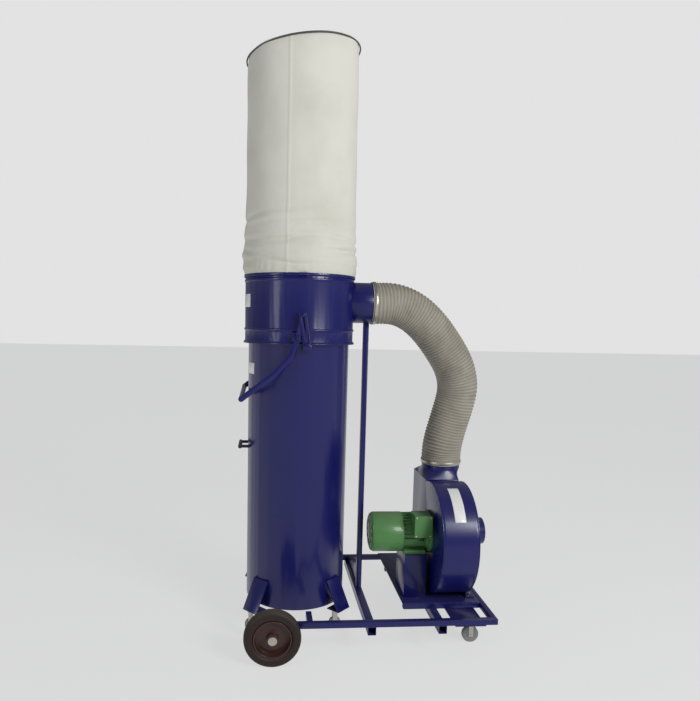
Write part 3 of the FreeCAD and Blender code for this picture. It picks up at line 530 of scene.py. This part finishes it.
# %% Motor fins and bolts
def box_set(name, boxes, material, bevel=0.0006):
    """Many boxes as one mesh; each is centre, half sizes and a 3x3 turn."""
    unit = np.array([(x, y, z) for x in (-1, 1) for y in (-1, 1) for z in (-1, 1)], float)
    faces = np.array([(0, 1, 3, 2), (4, 6, 7, 5), (0, 4, 5, 1),
                      (2, 3, 7, 6), (0, 2, 6, 4), (1, 5, 7, 3)])
    points = [(unit * np.array(half)) @ np.array(turn).T + np.array(centre)
              for centre, half, turn in boxes]
    quads = [faces + 8 * index for index in range(len(boxes))]
    mesh = bpy.data.meshes.new(name)
    mesh.from_pydata(np.concatenate(points), [], np.concatenate(quads).tolist())
    mesh.materials.append(material)
    item = bpy.data.objects.new(name, mesh)
    scene.collection.objects.link(item)
    edge = item.modifiers.new("edge", "BEVEL")
    edge.width = bevel
    edge.segments = 2
    return item


fins = []
for degrees in range(0, 360, 12):
    if 205 < degrees < 335 or 100 < degrees < 178:
        continue
    turn = Matrix.Rotation(math.radians(degrees), 3, "X")
    outward = turn @ Vector((0, 0, 0.0860))
    fins.append((Vector((DRUM_X + 0.549, SHAFT_Y, SHAFT_Z)) + outward, (0.052, 0.0013, 0.0048), turn))
motor_fins = box_set("motor_fins", fins, green)
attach(motor_fins, "frame")


def bolt_heads(name, places, axis, radius, tall, material):
    """Hexagon heads with a washer, as one mesh made of short six-sided drums."""
    along = Vector(axis)
    first = along.orthogonal().normalized()
    second = along.cross(first)
    points, faces = [], []
    for place in places:
        for sides, r, low, high in ((24, radius * 1.45, 0.0, 0.0012), (6, radius, 0.0012, tall)):
            start = len(points)
            for level in (low, high):
                for k in range(sides):
                    angle = 2 * math.pi * k / sides
                    out = first * (r * math.cos(angle)) + second * (r * math.sin(angle))
                    points.append(Vector(place) + along * level + out)
            loop = list(range(start, start + sides))
            faces.append(loop[::-1])
            faces.append([i + sides for i in loop])
            for k in range(sides):
                j = (k + 1) % sides
                faces.append([start + k, start + j, start + sides + j, start + sides + k])
    mesh = bpy.data.meshes.new(name)
    mesh.from_pydata(points, [], faces)
    mesh.materials.append(material)
    item = bpy.data.objects.new(name, mesh)
    scene.collection.objects.link(item)
    edge = item.modifiers.new("edge", "BEVEL")
    edge.width = 0.0004
    edge.segments = 2
    edge.limit_method = "ANGLE"
    return item


def circle_spots(x, radius, count, start=0.0):
    """Even spots on a circle round the shaft at one level along it."""
    turns = [start + 2 * math.pi * k / count for k in range(count)]
    return [(x, SHAFT_Y + radius * math.cos(t), SHAFT_Z + radius * math.sin(t)) for t in turns]


ring_spots = circle_spots(DRUM_X + 0.801, 0.075, 8, 0.2)
flange_bolts = bolt_heads("spigot_bolts", ring_spots, (1, 0, 0), 0.005, 0.006, zinc)
lid_spots = [(DRUM_X + x, SHAFT_Y - 0.138, SHAFT_Z + z) for x in (0.540, 0.606) for z in (0.021, 0.107)]
lid_bolts = bolt_heads("lid_screws", lid_spots, (0, -1, 0), 0.003, 0.003, zinc)
foot_spots = [(DRUM_X + 0.825, y, 0.173) for y in (-0.15, -0.08, -0.01)]
foot_bolts = bolt_heads("foot_bolts", foot_spots, (0, 0, 1), 0.006, 0.007, zinc)
for piece in (flange_bolts, lid_bolts, foot_bolts):
    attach(piece, "frame")
print("fins:", len(fins))

# %% [markdown]
# Plain pale floor and soft light, as in a small product studio. The main window of
# light stands in front on the right, so the bag is brighter on that side and the
# enamel stays deep; a weak strip on the left draws one long shine down the drum.

# %% Floor, light and camera
scene.view_settings.view_transform = "Standard"
PALE = (0.765, 0.765, 0.765, 1)
floor_mesh = bpy.data.meshes.new("floor")
floor_mesh.from_pydata([(-30, -30, 0), (30, -30, 0), (30, 30, 0), (-30, 30, 0)], [], [(0, 1, 2, 3)])
floor = bpy.data.objects.new("floor", floor_mesh)
scene.collection.objects.link(floor)
floor_paint, _, floor_surface = start_material("pale_floor")
floor_surface.inputs["Base Color"].default_value = (0.16, 0.16, 0.16, 1)
floor_surface.inputs["Roughness"].default_value = 1.0
floor_surface.inputs["Specular IOR Level"].default_value = 0.0
floor_surface.inputs["Emission Color"].default_value = PALE
floor_surface.inputs["Emission Strength"].default_value = 0.80
floor_mesh.materials.append(floor_paint)

world = bpy.data.worlds.new("studio")
scene.world = world
world.use_nodes = True
sky = world.node_tree
seen = sky.nodes["Background"]
seen.inputs["Color"].default_value = PALE
seen.inputs["Strength"].default_value = 1.0
glow = sky.nodes.new("ShaderNodeBackground")
glow.inputs["Color"].default_value = (0.92, 0.95, 1.0, 1)
glow.inputs["Strength"].default_value = 0.24
path = sky.nodes.new("ShaderNodeLightPath")
blend = sky.nodes.new("ShaderNodeMixShader")
sky.links.new(path.outputs["Is Camera Ray"], blend.inputs[0])
sky.links.new(glow.outputs[0], blend.inputs[1])
sky.links.new(seen.outputs[0], blend.inputs[2])
sky.links.new(blend.outputs[0], sky.nodes["World Output"].inputs["Surface"])


def area_light(name, place, target, width, height, power):
    light = bpy.data.lights.new(name, "AREA")
    light.shape = "RECTANGLE"
    light.size, light.size_y, light.energy = width, height, power
    item = bpy.data.objects.new(name, light)
    direction = Vector(target) - Vector(place)
    aim = direction.to_track_quat("-Z", "Y").to_matrix().to_4x4()
    item.matrix_world = Matrix.Translation(place) @ aim
    scene.collection.objects.link(item)
    return item


area_light("main_window", (2.6, -3.6, 3.0), (0, 0, 1.2), 1.6, 1.6, 150)
area_light("left_strip", (-3.2, -2.2, 2.0), (-0.3, 0, 1.2), 0.5, 2.4, 22)

yaw, pitch, roll = 0.086, -0.1148, 0.0206
look = Vector((math.sin(yaw) * math.cos(pitch), math.cos(yaw) * math.cos(pitch), math.sin(pitch)))
right = Vector((math.cos(yaw), -math.sin(yaw), 0))
up = right.cross(look)
right_rolled = right * math.cos(roll) + up * math.sin(roll)
up_rolled = up * math.cos(roll) - right * math.sin(roll)
camera_data = bpy.data.cameras.new("camera")
camera_data.lens = 32.1
camera_data.shift_x = 0.0502
camera_data.shift_y = 0.0604
camera = bpy.data.objects.new("camera", camera_data)
turned = Matrix((right_rolled, up_rolled, -look)).transposed().to_4x4()
camera.matrix_world = Matrix.Translation((DRUM_X - 0.1724, -2.9284, 1.4504)) @ turned
scene.collection.objects.link(camera)
scene.camera = camera
